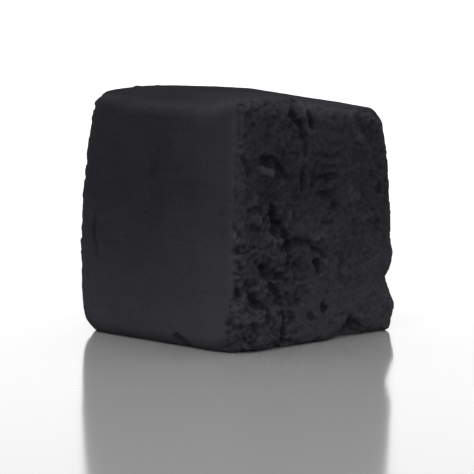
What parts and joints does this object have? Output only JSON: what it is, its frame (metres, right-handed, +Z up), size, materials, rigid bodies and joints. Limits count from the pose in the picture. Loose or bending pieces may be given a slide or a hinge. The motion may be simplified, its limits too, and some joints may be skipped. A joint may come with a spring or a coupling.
{
  "type": "charcoal lump",
  "caption": "Pressed coconut-shell charcoal lump: a worn cube with smooth pressed sides and rough torn ends.",
  "frame": {"origin": "on the floor under the middle of the lump's bounding box", "axes": "+Z up, out of the top; +X out of the torn end with the crack and the deep pit, along the pressed bar; -Y out of the smooth pressed side with the worn dip in its top edge"},
  "size_m": [0.0258, 0.0252, 0.0266],
  "materials": {
    "charcoal": "matte"
  },
  "bodies": {
    "root": {"charcoal_lump": "charcoal"}
  },
  "joints": []
}
